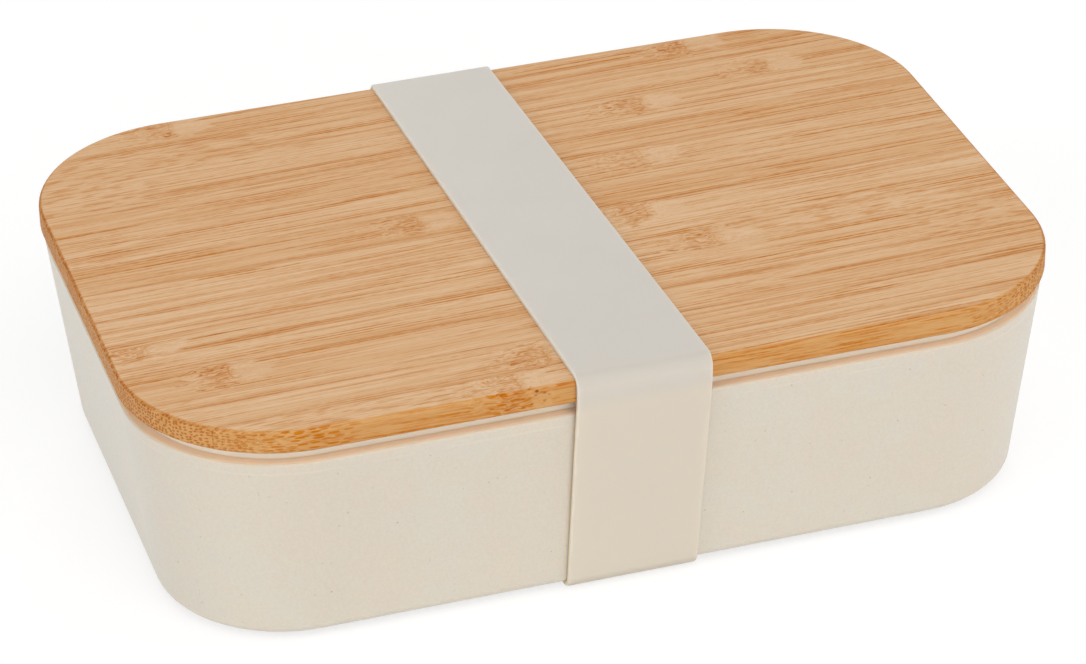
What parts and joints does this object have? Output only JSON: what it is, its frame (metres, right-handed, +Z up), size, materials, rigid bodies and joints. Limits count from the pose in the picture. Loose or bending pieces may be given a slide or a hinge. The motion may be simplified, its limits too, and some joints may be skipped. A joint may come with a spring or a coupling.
{
  "type": "bento lunch box",
  "caption": "Low rounded lunch box: tapered cream tray, glued bamboo lid with a plug and seal ring, and a broad elastic strap round the middle.",
  "frame": {"origin": "on the surface that the box stands on, under the middle of the tray", "axes": "+Z up, +X along the long side to the right, +Y across the box to the back"},
  "size_m": [0.195, 0.1348, 0.0535],
  "materials": {
    "tray_plastic": "cream bamboo-fibre plastic, satin gloss, with fine sparse specks",
    "bamboo": "sanded and lightly oiled bamboo, fine straight grain along the box",
    "seal_silicone": "smooth off-white silicone",
    "strap_silicone": "smooth matt warm grey-white silicone"
  },
  "bodies": {
    "tray": {"tray": "tray_plastic"},
    "lid": {"lid_strip_01": "bamboo", "lid_strip_02": "bamboo", "lid_strip_03": "bamboo", "lid_strip_04": "bamboo", "lid_strip_05": "bamboo", "lid_strip_06": "bamboo", "lid_strip_07": "bamboo", "lid_strip_08": "bamboo", "lid_strip_09": "bamboo", "lid_strip_10": "bamboo", "lid_strip_11": "bamboo", "lid_strip_12": "bamboo", "seal": "seal_silicone"},
    "strap": {"strap": "strap_silicone"}
  },
  "joints": [
    {"name": "lid_lift", "type": "slide", "parent": "tray", "child": "lid", "axis": [0, 0, 1], "range_m": [0, 0.06], "deforming": ["strap"]},
    {"name": "strap_slide", "type": "slide", "parent": "tray", "child": "strap", "axis": [1, 0, 0], "range_m": [-0.115, 0.115]}
  ]
}
